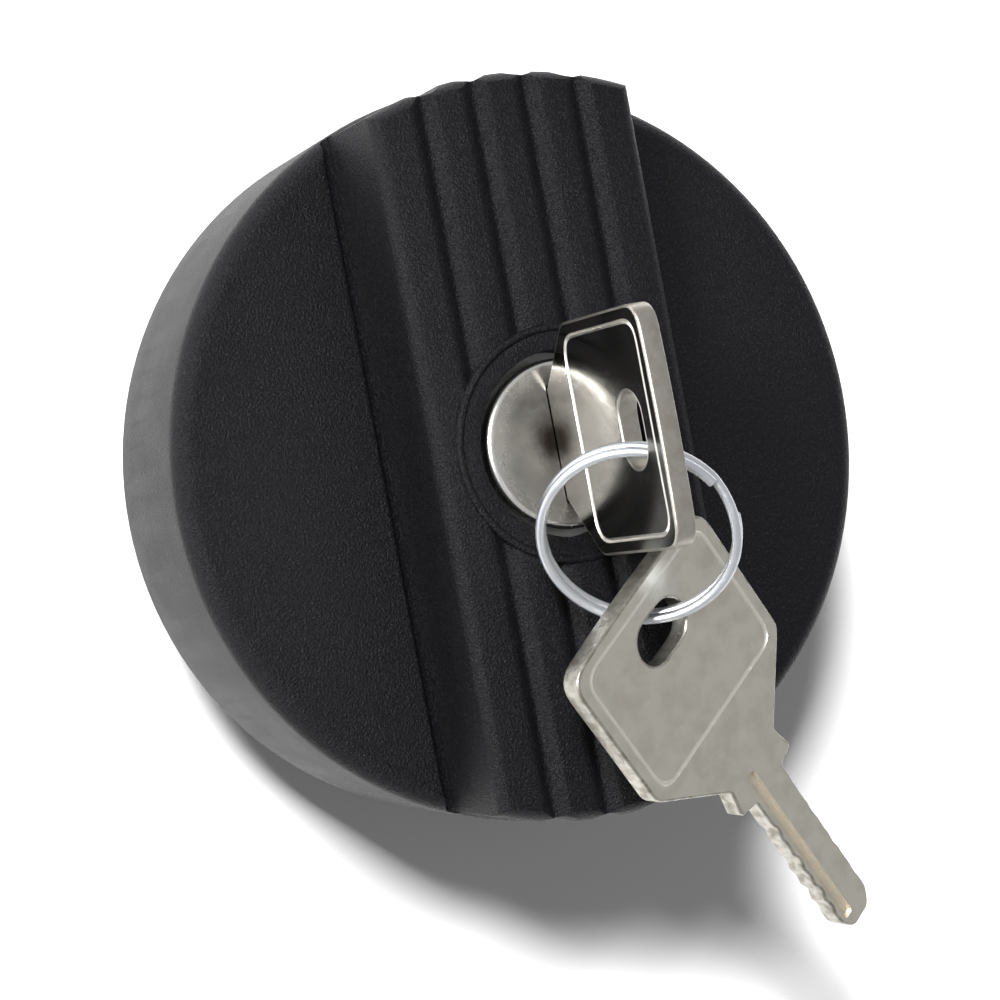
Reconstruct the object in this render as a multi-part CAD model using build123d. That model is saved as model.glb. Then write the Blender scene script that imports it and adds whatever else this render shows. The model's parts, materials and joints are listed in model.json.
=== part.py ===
"""Locking fuel filler cap with its two keys.

Frame: millimetres, +Z along the cap's axis towards the driver, +Y along the grip bar.
The origin is the centre of the gasket's sealing face, and the cap stands on its neck's end.
"""
from build123d import *
from math import atan2, cos, degrees, hypot, radians, sin, sqrt
import os

# ---- outer shell ----
SKIRT_BACK_R = 40.0
SKIRT_FLARE = 0.4
SKIRT_WALL = 2.4
SKIRT_BACK_Z = -8.0
FACE_Z = 14.0
FACE_WALL = 3.0
FACE_EDGE_R = 2.2
BAR_END_STEP = 0.4
CREST_Z = 23.2
CREST_EDGE_R = 2.2
BAR_HALF = 15.0
BAR_FOOT_HALF = 16.1
CHANNEL_W = 1.3
CHANNEL_DEPTH = 1.5
CHANNEL_LIP_R = 0.7
CHANNEL_FLOOR_R = 0.5
BAR_EDGE_R = 1.7
BAR_WALL = 2.4
FLUTE_PITCH = 6.0
FLUTE_DEPTH = 0.85
FLUTE_SPREAD = 0.36
FLUTE_END_DEPTH = 0.55
FLUTE_END_R = 4.0
RIDGES = 5
COLLAR_R = 12.8
COLLAR_EDGE = 0.5
RECESS_R = 10.0
LIP_Z = 19.0
HUB_WALL = 2.3
HUB_BACK_Z = 4.2
RIB_T = 1.6
RIB_Y = (22.0, 31.0)

# ---- gasket and closure ----
GASKET_IN_R = 25.2
GASKET_BEAD_W = 1.0
GASKET_T = 3.0
GASKET_LIP_H = 0.7
SKIRT_GAP = 3.4
RIM_W = 1.2
FLANGE_T = 2.4
RIM_T = 1.0
NECK_R = 20.0
NECK_WALL = 2.4
DECK_Z = -6.0
DECK_T = 2.4
LUG_R = 24.2
LUG_TOP_Z = -9.5
LUG_T = 3.0
LUG_RAMP = 1.2
LUG_HALF_DEG = 26.0
SCREW_R = 1.5
SCREW_HEAD_R = 2.3
SCREW_HEAD_H = 1.8
SHELL_SCREW_PITCH_R = 22.6
SHELL_SCREWS = 4
BOSS_WALL = 1.5

# ---- lock ----
FIT = 0.08
SEAT = 0.05
HOUSING_WALL = 3.1
PLUG_R = 8.0
PLUG_HEAD_R = 8.6
COVER_R = 9.12
COVER_T = 0.42
COVER_Z = 22.8
COVER_EDGE_R = 0.75
COVER_SKIRT = 3.2
SLOT_HALF = 6.4
SLOT_W = 2.5
CLIP_T = 0.7
CLIP_R = 9.7
CLIP_GROOVE = 0.9
CLIP_MOUTH_HALF = 2.6
O_RING_Z = -5.9
O_RING_T = 1.2
DRIVER_HALF = 2.5
WAFERS = 6
WAFER_PITCH = 2.5
WAFER_TOP_Z = 13.0
WAFER_T = 1.1
WAFER_HALF_W = 3.5
WAFER_SPRING_W = 1.0
WAFER_EAR_HALF = 2.2
SHUTTER_T = 0.5
SHUTTER_H = 3.2
SHUTTER_PIN_R = 0.4
SHUTTER_EAR_R = 0.8
SHUTTER_EAR_Y = 4.2
SHUTTER_EAR_T = 1.2
SHUTTER_WIRE_R = 0.14
SHUTTER_COILS = 6

# ---- cam, bolts and their carrier ----
CAM_TURN = 90.0
CAM_R = 12.0
CAM_T = 2.7
BOLT_THROW = 4.0
BOLT_PIN_R = 1.5
BOLT_PIN_AT = 9.0
BOLT_W = 8.0
BOLT_T = 2.8
BOLT_REACH = 23.6
BOLT_GAP = 0.15
BOLT_IN_R = 7.0
CAM_SCREW_HEAD_R = 2.4
CARRIER_T = 2.6
GUIDE_T = 2.6
GUIDE_HALF_L = 15.5
CARRIER_SCREW_AT = 14.8

# ---- base plate and vent valve ----
BASE_T = 2.4
BASE_SCREWS = 3
CARRIER_HOLE_R = 3.8
BASE_SCREW_AT = 14.0
BASE_SCREW_GRIP = 4.0
SCREW_ROOF = 1.0
SCREW_TIP_GAP = 0.6
BASE_WEB_T = 2.2
VALVE_R = 7.6
VALVE_WALL = 1.4
VALVE_DISC_R = 4.6
VALVE_DISC_T = 1.0
VALVE_SEAL_T = 0.9
VALVE_STEM_R = 1.0
VALVE_SEAT_R = 3.6
VALVE_SEAT_H = 0.8
VALVE_LIFT = 1.1
VALVE_SPRING_R = 2.6
VALVE_WIRE_R = 0.2
VALVE_COILS = 3
VENT_HOLES = 6
VENT_R = 0.7
VENT_PITCH_R = 2.2
VALVE_PORT_AT = 4.4
VALVE_PORT_R = 0.8

# ---- keys and split ring ----
KEY_T = 2.3
KEY_BOW_W = 25.8
KEY_SHOULDER_AT = 18.2
KEY_CORNER_R = 3.0
KEY_END_SAG = 0.4
KEY_EDGE = 0.25
KEY_OUT_Z = 47.2
KEY_HOLE_AT = 6.0
KEY_HOLE_W = 7.8
KEY_HOLE_H = 5.1
KEY_PANEL_RIM = 1.3
KEY_PANEL_END = 18.4
KEY_PANEL_DEPTH = 0.2
KEY_NECK_AT = 25.8
KEY_NECK_HALF = 4.6
KEY_TAB_AT = 28.6
KEY_TAB_HALF = 5.2
KEY_BLADE_AT = 29.4
KEY_BLADE_HALF = 2.8
KEY_BLADE_T = 2.1
KEY_TIP_AT = 51.5
KEY_TIP_L = 3.2
KEY_TIP_HALF = 1.1
KEY_GROOVE_W = 1.1
KEY_GROOVE_DEPTH = 0.6
KEY_GROOVE_OFF = 1.5
KEY_CUTS = (0.3, 0.6, 0.25, 0.5, 0.2, 0.45)
KEY_CUT_W = 1.3
RING_R = 10.0
RING_WIRE_R = 0.525
RING_GAP = 0.03
RING_JOG_DEG = 28.0

# The ring hangs through the lock key's bow, and the spare key hangs from it over the grip bar.
RING_X = 0.14
RING_Y = -10.53
RING_DROP = 5.53
SPARE_X = 1.5
SPARE_Y = -10.28
SPARE_DROP = 3.58
RING_AXIS = Vector(-0.523, -0.473, 0.709).normalized()
SPARE_ALONG = Vector(0.524, -0.805, -0.278).normalized()
SPARE_FACE = Vector(0.3128, -0.1217, 0.942)

# ---- sizes that follow from the ones above ----
FACE_R = SKIRT_BACK_R + SKIRT_FLARE
BAR_END_R = FACE_R - BAR_END_STEP
FLANGE_Z = GASKET_T
FLANGE_TOP_Z = FLANGE_Z + FLANGE_T
UNDER_FACE_Z = FACE_Z - FACE_WALL
SKIRT_IN_R = SKIRT_BACK_R - SKIRT_WALL
FLANGE_R = SKIRT_IN_R - SKIRT_GAP
GASKET_OUT_R = FLANGE_R - RIM_W
BAR_FLOOR_Z = FACE_Z - CHANNEL_DEPTH - 0.6
HOUSING_BORE_R = PLUG_R + FIT
HOUSING_R = HOUSING_BORE_R + HOUSING_WALL
HUB_IN_R = HOUSING_R + SEAT
HUB_R = HUB_IN_R + HUB_WALL
DECK_UNDER_Z = DECK_Z - DECK_T
CLIP_TOP_Z = DECK_UNDER_Z - 0.1
CAM_TOP_Z = CLIP_TOP_Z - CLIP_T - 0.9
PLUG_END_Z = CAM_TOP_Z + 0.01
CAM_UNDER_Z = CAM_TOP_Z - CAM_T
BOLT_TOP_Z = CAM_UNDER_Z - 0.3
BOLT_UNDER_Z = BOLT_TOP_Z - BOLT_T
CARRIER_TOP_Z = BOLT_UNDER_Z - 0.1
CARRIER_UNDER_Z = CARRIER_TOP_Z - CARRIER_T
VALVE_TOP_Z = CARRIER_UNDER_Z - 0.4
VALVE_CEILING_Z = VALVE_TOP_Z - VALVE_WALL
VALVE_DISC_TOP_Z = VALVE_CEILING_Z - 0.2 - 2 * VALVE_WIRE_R * VALVE_COILS - VALVE_LIFT
VALVE_DISC_Z = VALVE_DISC_TOP_Z - VALVE_DISC_T
VALVE_SEAT_TOP_Z = VALVE_DISC_Z - VALVE_SEAL_T
BASE_TOP_Z = VALVE_SEAT_TOP_Z - VALVE_SEAT_H
NECK_END_Z = BASE_TOP_Z - BASE_T
BASE_HEAD_Z = NECK_END_Z + SCREW_HEAD_H + 0.1
BASE_BOSS_TOP_Z = CARRIER_UNDER_Z - 0.4
NECK_IN_R = NECK_R - NECK_WALL
PLUG_TOP_Z = COVER_Z - COVER_T - SEAT
SLOT_NECK_Z = KEY_OUT_Z - KEY_BLADE_AT - 0.3
SLOT_END_Z = KEY_OUT_Z - KEY_TIP_AT - 0.6
BLADE_SLOT_HALF = KEY_BLADE_HALF + 0.2
RING_CENTRE = Vector(RING_X, RING_Y, KEY_OUT_Z - KEY_HOLE_AT - RING_DROP)
SPARE_HOLE = RING_CENTRE + Vector(SPARE_X, SPARE_Y, -SPARE_DROP)
SPARE_ACROSS = SPARE_FACE.cross(SPARE_ALONG).normalized()
WAFER_ZS = [WAFER_TOP_Z - i * WAFER_PITCH for i in range(WAFERS)]
SHUTTER_X = SLOT_W / 2 + 0.1
SHUTTER_TOP_Z = PLUG_TOP_Z - 0.6
SHUTTER_HALF = SLOT_HALF - 0.25
SHUTTER_PIN_X = SHUTTER_X + SHUTTER_EAR_R
SHUTTER_PIN_Z = SHUTTER_TOP_Z - SHUTTER_PIN_R - 0.4

os.makedirs("parts", exist_ok=True)


def disc(radius, low, high, at=(0, 0)):
    """A round bar along Z between two heights."""
    return Pos(at[0], at[1], (low + high) / 2) * Cylinder(radius, high - low)


def tube(inner, outer, low, high, at=(0, 0)):
    """A plain tube along Z between two heights."""
    return disc(outer, low, high, at) - disc(inner, low - 1, high + 1, at)


def block(x, y, z):
    """A box from three (low, high) pairs."""
    centre = [(a + b) / 2 for a, b in (x, y, z)]
    return Pos(*centre) * Box(x[1] - x[0], y[1] - y[0], z[1] - z[0])


def around(count, radius, start=0.0):
    """Evenly spaced places on a circle, as (x, y)."""
    turns = [radians(start + 360.0 * i / count) for i in range(count)]
    return [(radius * cos(t), radius * sin(t)) for t in turns]


def coil(radius, wire_r, low, high, turns):
    """An open coil spring along Z, with its wire's surface at the two heights."""
    low, high = low + wire_r, high - wire_r
    path = Pos(0, 0, low) * Helix((high - low) / turns, high - low, radius)
    return sweep(Plane(path @ 0, z_dir=path % 0) * Circle(wire_r), path, is_frenet=True)


# ---------------------------------------------------------------- outer shell
def drum(back_r, front_r, low, high, edge):
    """A round blank, a little wider at its front, with a rounded front edge."""
    half = make_face(Polyline((0, low), (back_r, low), (front_r, high), (0, high), close=True))
    body = revolve(Plane.XZ * half, Axis.Z)
    return fillet(body.edges().group_by(Axis.Z)[-1], edge)


def bar_outline(inset=0.0, top_z=CREST_Z, floor_z=BAR_FLOOR_Z):
    """The grip bar's section across X: flat foot, leaning flanks and a row of round ridges."""
    lean = (BAR_FOOT_HALF - BAR_HALF) / (CREST_Z - FACE_Z)
    half_top = BAR_HALF - inset
    half_foot = half_top + lean * (top_z - floor_z)
    face = make_face(Polyline((-half_foot, floor_z), (half_foot, floor_z), (half_top, top_z),
                              (-half_top, top_z), close=True))
    if inset:
        return face
    face = fillet(face.vertices().group_by(Axis.Y)[-1], BAR_EDGE_R)
    spread = FLUTE_PITCH * FLUTE_SPREAD
    lip, shoulder = top_z + 0.02, top_z - FLUTE_DEPTH * 0.35
    for i in range(1, RIDGES):
        x = (i - RIDGES / 2) * FLUTE_PITCH
        valley = Spline((x - spread, lip), (x - spread * 0.45, shoulder), (x, top_z - FLUTE_DEPTH),
                        (x + spread * 0.45, shoulder), (x + spread, lip), tangents=((1, 0), (1, 0)))
        face -= make_face(valley + Polyline((x + spread, lip), (x + spread, lip + 1), (x - spread, lip + 1),
                                            (x - spread, lip)))
    return face


def foot_channel():
    """The section of the channel between one flank and the face, with a rounded lip."""
    inner = BAR_FOOT_HALF - 0.3
    outer = BAR_FOOT_HALF + CHANNEL_W
    floor = FACE_Z - CHANNEL_DEPTH
    slot = Pos((inner + outer) / 2, (floor + FACE_Z + 1) / 2) * Rectangle(outer - inner, FACE_Z + 1 - floor)
    slot = fillet(slot.vertices().group_by(Axis.Y)[0], CHANNEL_FLOOR_R)
    lip = Pos(outer + CHANNEL_LIP_R / 2, FACE_Z + (1 - CHANNEL_LIP_R) / 2) * Rectangle(
        CHANNEL_LIP_R, 1 + CHANNEL_LIP_R)
    return slot + (lip - Pos(outer + CHANNEL_LIP_R, FACE_Z - CHANNEL_LIP_R) * Circle(CHANNEL_LIP_R))


def bar_plan():
    """The bar's round ends, scalloped where the flutes run over them."""
    plan = Circle(BAR_END_R) & Rectangle(2 * BAR_FOOT_HALF + 4, 3 * BAR_END_R)
    for i in range(1, RIDGES):
        x = (i - RIDGES / 2) * FLUTE_PITCH
        reach = sqrt(BAR_END_R ** 2 - x ** 2) + FLUTE_END_R - FLUTE_END_DEPTH
        for y in (reach, -reach):
            plan -= Pos(x, y) * Circle(FLUTE_END_R)
    return plan


def make_outer_shell():
    across = Plane.XZ
    body = drum(SKIRT_BACK_R, FACE_R, SKIRT_BACK_Z, FACE_Z, FACE_EDGE_R)
    channel = extrude(across * foot_channel(), FACE_R + 2, both=True)
    body -= channel
    body -= mirror(channel, Plane.YZ)
    bar = extrude(across * bar_outline(), FACE_R, both=True)
    bar &= drum(BAR_END_R, BAR_END_R, BAR_FLOOR_Z, CREST_Z + 0.5, CREST_EDGE_R + 0.5)
    bar &= extrude(Pos(0, 0, BAR_FLOOR_Z) * bar_plan(), CREST_Z + 1 - BAR_FLOOR_Z)
    body += bar
    collar = disc(COLLAR_R, FACE_Z - FACE_WALL / 2, CREST_Z)
    body += chamfer(collar.edges().group_by(Axis.Z)[-1], COLLAR_EDGE)

    body -= disc(SKIRT_IN_R, SKIRT_BACK_Z - 1, UNDER_FACE_Z)
    hollow = extrude(across * bar_outline(BAR_WALL, CREST_Z - BAR_WALL - FLUTE_DEPTH, UNDER_FACE_Z - 1),
                     FACE_R, both=True)
    hollow &= disc(SKIRT_IN_R - 0.6, UNDER_FACE_Z - 1, CREST_Z)
    hollow -= disc(HUB_R, UNDER_FACE_Z - 2, CREST_Z)
    for y in RIB_Y:
        for sign in (1, -1):
            hollow -= block((-BAR_FOOT_HALF, BAR_FOOT_HALF), (sign * y - RIB_T / 2, sign * y + RIB_T / 2),
                            (UNDER_FACE_Z - 2, CREST_Z))
    body -= hollow

    body += disc(HUB_R, HUB_BACK_Z, FACE_Z)
    body -= disc(HUB_IN_R, HUB_BACK_Z - 1, LIP_Z)
    body -= disc(RECESS_R, LIP_Z - 1, CREST_Z + 1)
    for at in around(SHELL_SCREWS, SHELL_SCREW_PITCH_R, 45):
        body += disc(SCREW_R + BOSS_WALL, FLANGE_TOP_Z, UNDER_FACE_Z + 0.5, at)
        body -= disc(SCREW_R, FLANGE_TOP_Z - 1, UNDER_FACE_Z - 0.2, at)
    return body


# ------------------------------------------------------- closure and its gasket
def bayonet_lug(turn):
    """One lug on the neck, with a ramp on its leading end."""
    lug = tube(NECK_R - 0.6, LUG_R, LUG_TOP_Z - LUG_T, LUG_TOP_Z)
    sector = make_face(Polyline((0, 0), *[(2 * LUG_R * cos(radians(a)), 2 * LUG_R * sin(radians(a)))
                                          for a in (-LUG_HALF_DEG, 0, LUG_HALF_DEG)], close=True))
    lug &= extrude(Pos(0, 0, LUG_TOP_Z - LUG_T) * sector, LUG_T)
    lean = degrees(atan2(LUG_RAMP, LUG_R * sin(radians(LUG_HALF_DEG))))
    cutter = Pos(0, 0, LUG_TOP_Z) * Rot(X=-lean) * Box(4 * LUG_R, 2 * LUG_R, 2 * LUG_T, align=(Align.CENTER, Align.MIN, Align.MIN))
    return Rot(Z=turn) * (lug - cutter)


def make_seal_plate():
    """The plate that the shell is screwed to, with a rim round the gasket."""
    plate = disc(FLANGE_R, FLANGE_Z, FLANGE_TOP_Z)
    plate += tube(GASKET_OUT_R + SEAT, FLANGE_R, FLANGE_Z - RIM_T, FLANGE_Z + 0.5)
    plate -= disc(HUB_R + 0.15, FLANGE_Z - 1, FLANGE_TOP_Z + 1)
    for at in around(SHELL_SCREWS, SHELL_SCREW_PITCH_R, 45):
        plate -= disc(SCREW_R + 0.2, FLANGE_Z - 1, FLANGE_TOP_Z + 1, at)
    return plate


def make_closure_body():
    """The neck with its lugs, its deck under the lock and the bosses inside."""
    body = disc(NECK_R, BASE_TOP_Z, FLANGE_Z - 0.01)
    body -= disc(NECK_IN_R, NECK_END_Z, DECK_UNDER_Z)
    body -= disc(HUB_R + 0.15, DECK_Z, FLANGE_Z + 1)
    body -= disc(PLUG_R + 0.3, DECK_UNDER_Z - 1, DECK_Z + 1)
    for turn in (90, 270):
        body += bayonet_lug(turn)
    window = (BOLT_W / 2 + BOLT_GAP)
    body -= block((-NECK_R - 1, NECK_R + 1), (-window, window), (BOLT_UNDER_Z - BOLT_GAP, BOLT_TOP_Z + BOLT_GAP))
    for at in around(2, CARRIER_SCREW_AT, 90):
        boss = disc(SCREW_R + BOSS_WALL, CARRIER_TOP_Z, DECK_UNDER_Z + 0.5, at)
        boss -= disc(CAM_R + 0.35, CAM_UNDER_Z - 0.3, DECK_UNDER_Z)
        body += boss & disc(NECK_IN_R + 0.5, NECK_END_Z, DECK_Z)
        body -= disc(SCREW_R, CARRIER_TOP_Z - 1, DECK_UNDER_Z - SCREW_ROOF, at)
    for at in around(BASE_SCREWS, BASE_SCREW_AT):
        body += disc(SCREW_R + BOSS_WALL, BASE_TOP_Z, BASE_BOSS_TOP_Z, at)
        web = block((BASE_SCREW_AT, NECK_IN_R + 0.6), (-BASE_WEB_T / 2, BASE_WEB_T / 2),
                    (BASE_TOP_Z, BASE_BOSS_TOP_Z))
        body += Rot(Z=degrees(atan2(at[1], at[0]))) * web
        body -= disc(SCREW_R, BASE_TOP_Z - 1, BASE_TOP_Z + BASE_SCREW_GRIP + SCREW_TIP_GAP, at)
    return body


def make_gasket():
    """A flat ring with a raised bead around the outside of its sealing side."""
    mid = (GASKET_IN_R + GASKET_OUT_R) / 2
    ring = tube(GASKET_IN_R, GASKET_OUT_R, 0, GASKET_T - 0.01)
    groove = tube(mid - 0.6, mid + 0.6, -GASKET_LIP_H, GASKET_LIP_H)
    inner_groove = tube(GASKET_IN_R + 1.5, GASKET_IN_R + 1.5 + GASKET_BEAD_W, -GASKET_LIP_H, GASKET_LIP_H)
    return ring - groove - inner_groove


# ------------------------------------------------------------------- the lock
def make_lock_housing():
    body = tube(HOUSING_BORE_R, HOUSING_R, DECK_Z + SEAT / 5, LIP_Z - SEAT / 5)
    wafer_zone = (WAFER_ZS[-1] - WAFER_PITCH / 2, WAFER_ZS[0] + WAFER_PITCH / 2)
    for sign in (1, -1):
        y = sorted((sign * (PLUG_R - 0.5), sign * (HOUSING_BORE_R + 1.1)))
        body -= block((-WAFER_HALF_W - 0.2, WAFER_HALF_W + 0.2), y, wafer_zone)
    return body


def key_slot(margin=0.0):
    """The slot for the key: wide where its shoulders enter, narrow for the blade."""
    half_w = SLOT_W / 2 + margin
    wide = block((-half_w, half_w), (-SLOT_HALF, SLOT_HALF), (SLOT_NECK_Z, COVER_Z + 1))
    narrow = block((-half_w, half_w), (-BLADE_SLOT_HALF, BLADE_SLOT_HALF), (SLOT_END_Z, SLOT_NECK_Z + 1))
    return wide + narrow


def wafer_pocket(z):
    return block((-WAFER_HALF_W - 0.08, WAFER_HALF_W + 0.08), (-PLUG_R - 1, PLUG_R + 1),
                 (z - WAFER_T / 2 - 0.08, z + WAFER_T / 2 + 0.08))


def make_lock_plug():
    head = disc(PLUG_HEAD_R, LIP_Z + 0.1, PLUG_TOP_Z)
    body = disc(PLUG_R, PLUG_END_Z, LIP_Z) + chamfer(head.edges().group_by(Axis.Z)[-1], COVER_EDGE_R - COVER_T)
    body += disc(PLUG_R, LIP_Z - 0.5, LIP_Z + 0.5)
    body += block((-DRIVER_HALF, DRIVER_HALF), (-DRIVER_HALF, DRIVER_HALF), (CAM_UNDER_Z + 0.2, PLUG_END_Z))
    body -= key_slot()
    body -= block((SLOT_W / 2 - 0.1, SHUTTER_PIN_X + SHUTTER_EAR_R + 0.1), (-SLOT_HALF, SLOT_HALF),
                  (SHUTTER_TOP_Z - SHUTTER_H - 0.3, PLUG_TOP_Z + 1))
    for z in WAFER_ZS:
        body -= wafer_pocket(z)
    body -= tube(PLUG_R - O_RING_T + 0.1, PLUG_R + 1, O_RING_Z - O_RING_T / 2 - 0.05,
                 O_RING_Z + O_RING_T / 2 + 0.05)
    body -= tube(PLUG_R - CLIP_GROOVE, PLUG_R + 1, CLIP_TOP_Z - CLIP_T - 0.05, CLIP_TOP_Z + 0.05)
    body -= disc(1.2, CAM_UNDER_Z - 1, PLUG_END_Z + 3)
    return body


def make_lock_cover():
    """The drawn steel cap over the plug's head, with the key slot pierced through it."""
    outer = disc(COVER_R, COVER_Z - COVER_SKIRT, COVER_Z)
    outer = fillet(outer.edges().group_by(Axis.Z)[-1], COVER_EDGE_R)
    inner = disc(PLUG_HEAD_R + SEAT / 2, COVER_Z - COVER_SKIRT - 1, COVER_Z - COVER_T)
    inner = fillet(inner.edges().group_by(Axis.Z)[-1], COVER_EDGE_R - COVER_T)
    slot = extrude(Pos(0, 0, COVER_Z - 2) * RectangleRounded(SLOT_W, 2 * SLOT_HALF, 0.3), 3)
    return outer - inner - slot


def make_dust_shutter():
    """The flap behind the slot, held open by the key, with its curled ears on the pin."""
    leaf = block((SHUTTER_X, SHUTTER_X + SHUTTER_T), (-SHUTTER_HALF, SHUTTER_HALF),
                 (SHUTTER_TOP_Z - SHUTTER_H, SHUTTER_TOP_Z))
    ear_in = SHUTTER_EAR_Y - SHUTTER_EAR_T / 2
    leaf -= block((SHUTTER_X - 1, SHUTTER_X + 1), (-ear_in, ear_in),
                  (SHUTTER_PIN_Z - SHUTTER_EAR_R - 0.1, SHUTTER_TOP_Z + 1))
    for y in (-SHUTTER_EAR_Y, SHUTTER_EAR_Y):
        leaf += Pos(SHUTTER_PIN_X, y, SHUTTER_PIN_Z) * Rot(X=90) * Cylinder(SHUTTER_EAR_R, SHUTTER_EAR_T)
    return leaf - Pos(SHUTTER_PIN_X, 0, SHUTTER_PIN_Z) * Rot(X=90) * Cylinder(SHUTTER_PIN_R + 0.03, 14)


def make_shutter_pin():
    return Pos(SHUTTER_PIN_X, 0, SHUTTER_PIN_Z) * Rot(X=90) * Cylinder(SHUTTER_PIN_R, 2 * SLOT_HALF - 0.1)


def make_shutter_spring():
    """The coil between the shutter's ears that shuts it once the key is out."""
    reach = SHUTTER_EAR_Y - SHUTTER_EAR_T / 2 - 0.1
    spring = coil(SHUTTER_PIN_R + SHUTTER_WIRE_R + 0.04, SHUTTER_WIRE_R, -reach, reach, SHUTTER_COILS)
    return Pos(SHUTTER_PIN_X, 0, SHUTTER_PIN_Z) * Rot(X=90) * spring


def wafer_shift(index):
    """How far each wafer sits off centre, following the key's cuts."""
    return (KEY_CUTS[index] - sum(KEY_CUTS) / len(KEY_CUTS)) * 0.3


def make_wafer(index):
    """A thin brass tumbler with its window round the blade and an ear for its spring."""
    z = WAFER_ZS[index]
    plate = block((-WAFER_HALF_W, WAFER_HALF_W), (-PLUG_R, PLUG_R), (z - WAFER_T / 2, z + WAFER_T / 2))
    plate &= disc(PLUG_R - 0.25, z - 1, z + 1)
    shift = wafer_shift(index)
    window_half = KEY_BLADE_HALF + 0.35
    plate -= block((-SLOT_W / 2 - 0.05, SLOT_W / 2 + 0.05),
                   (-window_half + shift, window_half + shift), (z - 1, z + 1))
    return plate - block((WAFER_HALF_W - WAFER_SPRING_W - 0.4, WAFER_HALF_W + 1),
                         (-WAFER_EAR_HALF, WAFER_EAR_HALF), (z - 1, z + 1))


def make_wafer_spring(index):
    """The small leaf that pushes its wafer, bent to a shallow vee in the wafer's ear."""
    z = WAFER_ZS[index]
    x0 = WAFER_HALF_W - WAFER_SPRING_W - 0.3
    x1 = WAFER_HALF_W - 0.1
    end = WAFER_EAR_HALF - 0.1
    outline = Polyline((x0, -end), (x1 - 0.15, 0), (x0, end), (x0 + 0.2, end + 0.05), (x1 + 0.05, 0),
                       (x0 + 0.2, -end - 0.05), close=True)
    return extrude(Pos(0, 0, z - 0.4) * make_face(outline), 0.8)


def make_o_ring():
    radius = PLUG_R - O_RING_T / 2 + FIT / 2 + 0.1
    return Pos(0, 0, O_RING_Z) * Torus(radius, O_RING_T / 2 - 0.09)


def make_plug_clip():
    ring = tube(PLUG_R - CLIP_GROOVE + 0.05, CLIP_R, CLIP_TOP_Z - CLIP_T, CLIP_TOP_Z)
    mouth = block((0, CLIP_R + 1), (-CLIP_MOUTH_HALF, CLIP_MOUTH_HALF), (CLIP_TOP_Z - 2, CLIP_TOP_Z + 1))
    return ring - mouth


def spiral_slot(turn):
    """A slot whose radius falls evenly with angle, so the bolts move evenly with the plug."""
    half = BOLT_PIN_R + 0.1
    drop = BOLT_THROW / radians(CAM_TURN)
    start, end = 0.0, radians(-CAM_TURN)
    steps = 12

    def edge(offset):
        points = []
        for i in range(steps + 1):
            angle = start + (end - start) * i / steps
            radius = BOLT_PIN_AT + drop * angle
            slope = drop / hypot(drop, radius)
            along = sqrt(1 - slope * slope)
            out = (cos(angle) * along + sin(angle) * slope, sin(angle) * along - cos(angle) * slope)
            points.append((radius * cos(angle) + offset * out[0], radius * sin(angle) + offset * out[1]))
        return points

    outer = edge(half)
    inner = edge(-half)[::-1]
    rim = Spline(*outer) + Line(outer[-1], inner[0]) + Spline(*inner) + Line(inner[-1], outer[0])
    face = make_face(rim) + Pos(BOLT_PIN_AT, 0) * Circle(half)
    face += Pos(0, BOLT_THROW - BOLT_PIN_AT) * Circle(half)
    return Rot(Z=turn) * extrude(Pos(0, 0, CAM_UNDER_Z - 1) * face, CAM_T + 2)


def make_lock_cam():
    body = disc(CAM_R, CAM_UNDER_Z, CAM_TOP_Z)
    hole = DRIVER_HALF + 0.05
    body -= block((-hole, hole), (-hole, hole), (CAM_UNDER_Z - 1, CAM_TOP_Z + 1))
    for turn in (0, 180):
        body -= spiral_slot(turn)
    return body


def make_cam_screw():
    head = disc(CAM_SCREW_HEAD_R + 0.9, CAM_UNDER_Z - 0.25, CAM_UNDER_Z)
    head += disc(CAM_SCREW_HEAD_R, CAM_UNDER_Z - SCREW_HEAD_H, CAM_UNDER_Z - 0.2)
    head += disc(1.2, CAM_UNDER_Z - 0.2, PLUG_END_Z + 2.5)
    return head - cross_recess(CAM_UNDER_Z - SCREW_HEAD_H, 1)


def cross_recess(z, up):
    """The driver recess in a screw's head, cut upwards or downwards from z."""
    deep = (z - 1, z + 0.9) if up > 0 else (z - 0.9, z + 1)
    return block((-1.3, 1.3), (-0.3, 0.3), deep) + block((-0.3, 0.3), (-1.3, 1.3), deep)


def make_lock_bolt(turn):
    """A flat bolt with a round nose, and the pin that runs in the cam's slot."""
    bar = block((BOLT_IN_R, BOLT_REACH + 1), (-BOLT_W / 2, BOLT_W / 2), (BOLT_UNDER_Z, BOLT_TOP_Z))
    bar &= disc(BOLT_REACH, BOLT_UNDER_Z - 1, BOLT_TOP_Z + 1)
    nose = bar.edges().filter_by(GeomType.CIRCLE).group_by(Axis.Z)[0]
    bar = chamfer(nose, 0.8)
    bar += disc(BOLT_PIN_R, BOLT_TOP_Z - 0.5, CAM_TOP_Z - 0.2, (BOLT_PIN_AT, 0))
    return Rot(Z=turn) * bar


def make_bolt_carrier():
    """The plate that the bolts slide on, with a guide wall on each side of them."""
    top = CARRIER_TOP_Z
    plate = disc(NECK_IN_R - 0.1, CARRIER_UNDER_Z, top)
    guide_in = BOLT_W / 2 + BOLT_GAP
    for sign in (1, -1):
        y = sorted((sign * guide_in, sign * (guide_in + GUIDE_T)))
        plate += block((-GUIDE_HALF_L, GUIDE_HALF_L), y, (top - 0.5, CAM_UNDER_Z - 0.4))
    for at in around(2, CARRIER_SCREW_AT, 90):
        plate -= disc(SCREW_R + 0.2, CARRIER_UNDER_Z - 1, top + 1, at)
    return plate - disc(CARRIER_HOLE_R, CARRIER_UNDER_Z - 1, top + 1)


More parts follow.
